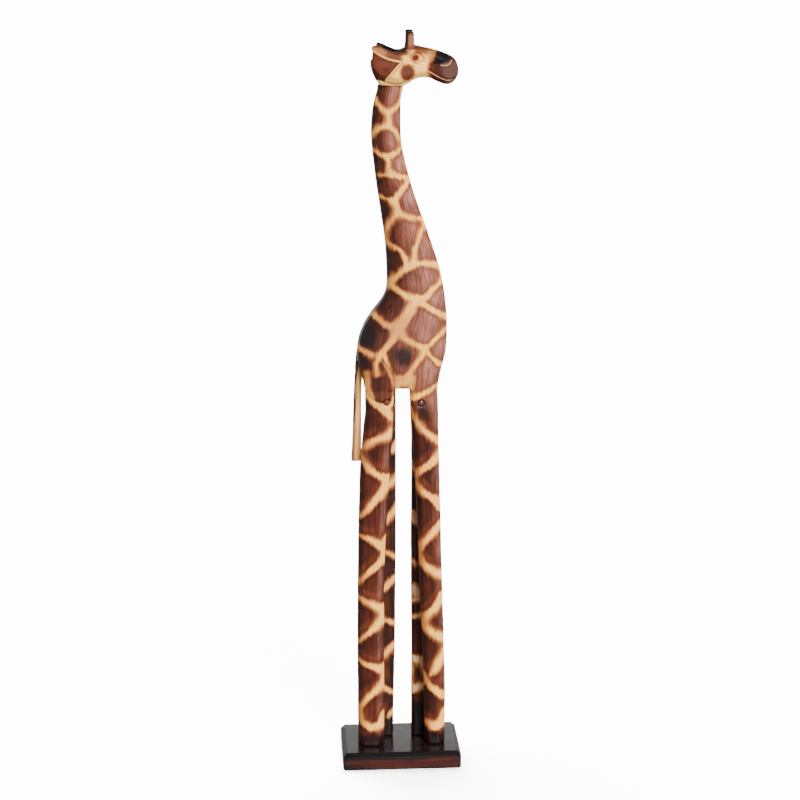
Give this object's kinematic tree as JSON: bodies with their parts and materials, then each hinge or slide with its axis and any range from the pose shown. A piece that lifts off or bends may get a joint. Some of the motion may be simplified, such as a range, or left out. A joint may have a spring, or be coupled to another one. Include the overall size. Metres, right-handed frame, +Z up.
{
  "type": "carved giraffe statue",
  "caption": "Tall standing wooden giraffe statue with carved head, ears and horns, faceted legs pegged to the torso, a hanging tail, and a rectangular bevelled board as its foot.",
  "frame": {"origin": "centre of the base board's underside", "axes": "+Z up, +X the way the animal faces, +Y the animal's left side"},
  "size_m": [0.163, 0.11, 1],
  "materials": {
    "body_wood": "satin lacquer over dark brown burnt patches with cream lines between them",
    "head_wood": "satin lacquer, cream and orange face with a burnt black muzzle",
    "horn_wood": "satin lacquer, dark red-brown",
    "tail_wood": "satin lacquer, tan with burnt edges",
    "base_wood": "glossy lacquer, dark red-brown",
    "raw_dowel": "unfinished",
    "peg_wood": "satin lacquer",
    "pin_steel": "plain bright wire",
    "screw_steel": "zinc plated"
  },
  "bodies": {
    "root": {"torso_and_neck": "body_wood", "head": "head_wood", "horn_right": "horn_wood", "horn_left": "horn_wood", "leg_front_right": "body_wood", "leg_front_left": "body_wood", "leg_rear_right": "body_wood", "leg_rear_left": "body_wood", "tail": "tail_wood", "base_board": "base_wood", "neck_dowel": "raw_dowel", "shoulder_peg": "peg_wood", "hip_peg": "peg_wood", "tail_pins": "pin_steel", "base_screws": "screw_steel"}
  },
  "joints": []
}
